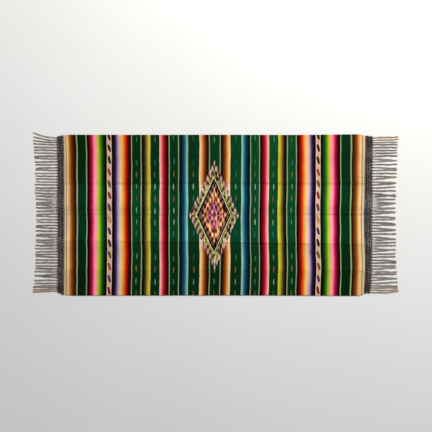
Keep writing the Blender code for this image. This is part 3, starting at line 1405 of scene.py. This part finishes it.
@dataclass
class Heading:
    """What the weaver made of the warp ends at one end: a knotted net, then a fringe of loose bundles.

    The rows are shares of the way out through the net. Clinging is how far the tips of two neighbours are drawn
    together, straying how far any tip lies aside, and warm_corners how tan the front and back bundles are.
    """

    end: End
    lay: Lay
    net_finish: WarpYarn
    fringe_finish: WarpYarn
    tangle: float
    warm_corners: tuple[float, float]
    bundles: int = 56
    knot_rows: tuple[float, ...] = (0.133, 0.339, 0.544, 0.749)
    bundle_row: float = 0.965
    net_yarn: float = 0.0016
    net_wave: float = 0.0004
    free_yarn: float = 0.00125
    yarns_each: int = 5
    small_knot: float = 0.0030
    bundle_knot: float = 0.0044
    corner_step: float = 0.0055
    clinging: float = 0.0055
    straying: float = 0.0023
    chance: random.Random = field(init=False)

    def __post_init__(self) -> None:
        """Seeds this end's own run of random numbers."""
        self.chance = random.Random(f"{self.end.name} warp ends")

    def at(self, share: float, y: float, up: float) -> Vector:
        """A place in the net.

        Args:
            share: how far out through the net, from 0 at the web to 1 at its outer edge.
            y: the place across a serape with straight edges.
            up: the height above the cloth's underside.

        Returns:
            The place.
        """
        net = self.lay.depth(self.end, "net", y)
        x = self.end.value * (self.lay.depth(self.end, "web", y) + share * net)
        across = self.lay.across(x, y)
        return Vector((x, across, self.lay.height(x, across) + up))

    def bundle_place(self, number: float) -> float:
        """Where a bundle is across a serape with straight edges."""
        return (2.0 * number / (self.bundles - 1) - 1.0) * (self.lay.half_width - self.corner_step)

    def build_net(self, step: Vector) -> bpy.types.Object:
        """Makes the net: four rows of small knots, with a larger knot for each bundle along its outer edge.

        Args:
            step: the step from the middle of the web to the frame's origin.

        Returns:
            The finished net.
        """
        yarns = YarnMesh(f"{self.end.name.lower()}_knotted_net")
        lean = self.lay.half_width / self.bundles / 2.0
        stations = (0.0, *self.knot_rows, self.bundle_row, 1.0)
        for number in range(2 * self.bundles):
            y = self.bundle_place((number - 0.5) / 2.0)
            bundle = self.bundle_place(number // 2)
            for side in (-lean, lean):
                places = (y + 0.6 * side, y, y + side, y, y + side, bundle, bundle)
                self.lay_net_yarn(yarns, Track(stations, places), 1.0, 18)
            self.lay_net_yarn(yarns, Track((0.0, 1.0), (y, y)), self.knot_rows[1], 5)
        for row, share in enumerate(self.knot_rows):
            shift = -lean if row % 2 else 0.0
            for number in range(2 * self.bundles + row % 2):
                self.tie(yarns, share, self.bundle_place((number - 0.5) / 2.0) + shift, self.small_knot)
        for number in range(self.bundles):
            self.tie(yarns, self.bundle_row, self.bundle_place(number), self.bundle_knot)
        piece = yarns.finished(step)
        self.net_finish.dress(piece)
        return piece

    def lay_net_yarn(self, yarns: YarnMesh, swing: Track, reach: float, rings: int) -> None:
        """Lays one yarn from the web's end out through the net.

        Args:
            yarns: the mesh that it goes in.
            swing: where it is across the serape, at a share of the way out through the net.
            reach: the share of the net that it goes through.
            rings: how many stretches it is made of.
        """
        up = self.net_yarn * self.chance.uniform(1.0, 1.5)
        wave = self.chance.uniform(0.0, math.tau)

        def path(share: float) -> Vector:
            """The yarn's middle line, which rises and falls a little, at a share of its length."""
            height = up + self.net_wave * math.sin(wave + 9.0 * share)
            return self.at(share * reach, swing(share * reach), height)

        yarns.lay_yarn(path, self.net_yarn, rings, self.chance.uniform(0.0, 0.15), thin=0.0)

    def tie(self, yarns: YarnMesh, share: float, y: float, size: float) -> None:
        """Ties one knot in the net, a little out of line.

        Args:
            yarns: the mesh that it goes in.
            share: how far out through the net it is.
            y: where it is, across a serape with straight edges.
            size: half its length.
        """
        jitter = self.chance.uniform
        middle = self.at(share + jitter(-0.02, 0.02), y + jitter(-0.0005, 0.0005), size * 0.80)
        # The knots are the net's own yarn, drawn far lighter as a painted highlight on the raised knots.
        yarns.tie_knot(middle, jitter(-0.5, 0.5), size * jitter(0.95, 1.15), jitter(0.8, 1.0))

    def build_fringe(self, step: Vector) -> bpy.types.Object:
        """Makes the fringe: bundles of loose yarns that waver, and here and there cling to a neighbour.

        Args:
            step: the step from the middle of the web to the frame's origin.

        Returns:
            The finished fringe.
        """
        yarns = YarnMesh(f"{self.end.name.lower()}_warp_fringe")
        pull = 0.0
        for number in range(self.bundles):
            pull = -pull if pull > 0.0 else self.chance.choice((0.0, 0.0, self.clinging * self.tangle))
            front, back = self.warm_corners
            warm = front if number < 2 else back if number > self.bundles - 3 else 0.0
            self.lay_bundle(yarns, self.bundle_place(number), pull, warm)
        piece = yarns.finished(step)
        self.fringe_finish.dress(piece)
        return piece

    def lay_bundle(self, yarns: YarnMesh, y: float, pull: float, warm: float) -> None:
        """Lays the yarns of one bundle.

        Args:
            yarns: the mesh that they go in.
            y: where the bundle starts, across a serape with straight edges.
            pull: how far its tip is drawn aside.
            warm: how tan it is, from 0 to 1.
        """
        drift = pull + self.chance.gauss(0.0, self.straying * self.tangle)
        wave = self.chance.uniform(0.0004, 0.0014) * self.tangle
        turns = self.chance.uniform(0.8, 1.8)
        phase = self.chance.uniform(0.0, math.tau)
        tone = self.chance.uniform(0.15, 0.85)
        reach = self.chance.uniform(0.955, 1.0)

        def sway(share: float) -> float:
            """How far aside the bundle lies, at a share of its length."""
            return drift * share**1.4 + wave * math.sin(phase + turns * math.tau * share) * share**0.6

        for strand in range(self.yarns_each):
            slot = strand - (self.yarns_each - 1) / 2.0
            own_reach = reach - abs(self.chance.gauss(0.0, 0.012))
            spread = slot * self.chance.uniform(0.0010, 0.0019)
            own_tone = 1.0 + warm if warm > 0.0 else min(max(tone + self.chance.gauss(0.0, 0.12), 0.0), 1.0)
            self.lay_free_yarn(yarns, y, own_reach, spread, sway, own_tone)

    def lay_free_yarn(
        self,
        yarns: YarnMesh,
        y: float,
        reach: float,
        spread: float,
        sway: Callable[[float], float],
        tone: float,
    ) -> None:
        """Lays one yarn of a bundle, from its knot to its tip.

        Args:
            yarns: the mesh that it goes in.
            y: where the bundle starts, across a serape with straight edges.
            reach: the share of the fringe's depth that it reaches.
            spread: how far it lies from the bundle's middle line.
            sway: the bundle's own wavering, at a share of its length.
            tone: how light it is, from 0 to 1, or how warm it is, from 1 to 2.
        """
        start = self.lay.depth(self.end, "web", y) + self.bundle_row * self.lay.depth(self.end, "net", y)
        whole = self.lay.net_end(self.end, y) + self.lay.depth(self.end, "fringe", y) - start
        phase = self.chance.uniform(0.0, math.tau)
        wobble = self.chance.uniform(0.0003, 0.0009)
        crimp = self.chance.uniform(0.0001, 0.0004)
        crimps = math.tau * whole / self.chance.uniform(0.013, 0.019)
        layer = self.chance.uniform(0.0, 0.0016)

        def path(share: float) -> Vector:
            """The yarn's middle line.

            Args:
                share: the share of its length.

            Returns:
                The place there.
            """
            x = self.end.value * (start + whole * reach * share)
            own = spread * (0.35 + 0.65 * eased(share * 3.0)) + wobble * math.sin(phase + 17.0 * share)
            own += crimp * math.sin(phase * 2.0 + crimps * share)
            across = self.lay.across(x, y) + sway(share) + own
            arch = 0.0022 * math.exp(-share * 9.0)
            return Vector((x, across, self.lay.height(x, across) + self.free_yarn + layer + arch))

        yarns.lay_yarn(path, self.free_yarn, 36, tone, thin=0.35)


@dataclass
class Studio:
    """The pale floor, the soft lights and the camera straight above."""

    floor_half: float = 14.0
    view_width: float = 2.7605
    lens_mm: float = 85.0
    sensor_mm: float = 36.0
    aim: tuple[float, float] = (0.0118, -0.0061)
    key_place: tuple[float, float, float] = (2.2, 4.7, 3.9)
    key_size: float = 2.4
    key_watts: float = 555.0
    fill_strength: float = 0.40

    def build_floor(self) -> bpy.types.Object:
        """Makes the pale floor.

        Returns:
            The floor, which isn't part of the serape.
        """
        bm = bmesh.new()
        bmesh.ops.create_grid(bm, x_segments=1, y_segments=1, size=self.floor_half)
        mesh = bpy.data.meshes.new("pale_floor")
        bm.to_mesh(mesh)
        bm.free()
        floor = bpy.data.objects.new("pale_floor", mesh)
        bpy.context.scene.collection.objects.link(floor)
        board = Board("pale_floor")
        grain = board.noise(board.object_place(), 3.0)
        colour = board.blend(dyed("D6D5D1"), dyed("DCDBD8"), grain)
        board.finish(colour, grain * 0.0001, 0.2, 0.9, 0.1)
        mesh.materials.append(board.material)
        return floor

    def light(self) -> None:
        """Sets a large soft light at the back and an even fill from all round."""
        key = bpy.data.lights.new("key", "AREA")
        key.shape = "DISK"
        key.size = self.key_size
        key.energy = self.key_watts
        lamp = bpy.data.objects.new("key", key)
        lamp.location = self.key_place
        lamp.rotation_euler = (-Vector(self.key_place)).to_track_quat("-Z", "Y").to_euler()
        bpy.context.scene.collection.objects.link(lamp)
        world = bpy.data.worlds.new("fill")
        world.use_nodes = True
        sky = world.node_tree.nodes["Background"]
        sky.inputs["Color"].default_value = (0.93, 0.96, 1.0, 1.0)
        sky.inputs["Strength"].default_value = self.fill_strength
        bpy.context.scene.world = world
        bpy.context.scene.view_settings.view_transform = "Standard"

    def place_camera(self, step: Vector) -> None:
        """Places the camera straight above.

        Args:
            step: the step from the middle of the web to the frame's origin.
        """
        camera = bpy.data.cameras.new("camera")
        camera.lens = self.lens_mm
        camera.sensor_width = self.sensor_mm
        camera.clip_end = 100.0
        distance = self.view_width / 2.0 / (self.sensor_mm / 2.0 / self.lens_mm)
        holder = bpy.data.objects.new("camera", camera)
        holder.location = Vector((*self.aim, distance)) + step
        bpy.context.scene.collection.objects.link(holder)
        bpy.context.scene.camera = holder


def mount(piece: bpy.types.Object, node: str) -> None:
    """Hands a finished piece to the frame.

    Args:
        piece: the piece.
        node: the CAD node that it stands for.
    """
    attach(piece, "root")
    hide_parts(node)
    faces = len(piece.data.polygons)
    LOG.info("%s stands for %s, with %d faces before its modifiers", piece.name, node, faces)


def main() -> None:
    """Builds the serape piece by piece, and the studio round it."""
    logging.basicConfig(level=logging.INFO, format="%(name)s: %(message)s")
    lay = Lay()
    step = lay.origin_step()
    studio = Studio()
    studio.place_camera(step)
    studio.light()
    floor = studio.build_floor()
    web = WovenWeb(lay, StripedWool(lay)).build(step)
    mount(web, "woven_web")
    net_yarn = WarpYarn(
        "knotted_warp", dark="120A05", light="6A5845", warm="5C4636", turns=14.0, tip_warm=0.0
    )
    free_yarn = WarpYarn(
        "free_warp", dark="665E57", light="B0A599", warm="B08E70", turns=34.0, tip_warm=0.25
    )
    on_web = []
    for end, tangle, corners in ((End.LEFT, 1.0, (0.8, 0.3)), (End.RIGHT, 1.35, (0.5, 0.9))):
        side = end.name.lower()
        heading = Heading(end, lay, net_yarn, free_yarn, tangle, corners)
        net = heading.build_net(step)
        mount(net, f"{side}_net_heading")
        fringe = heading.build_fringe(step)
        mount(fringe, f"{side}_fringe")
        on_web += [net, fringe]


if __name__ == "__main__":
    main()
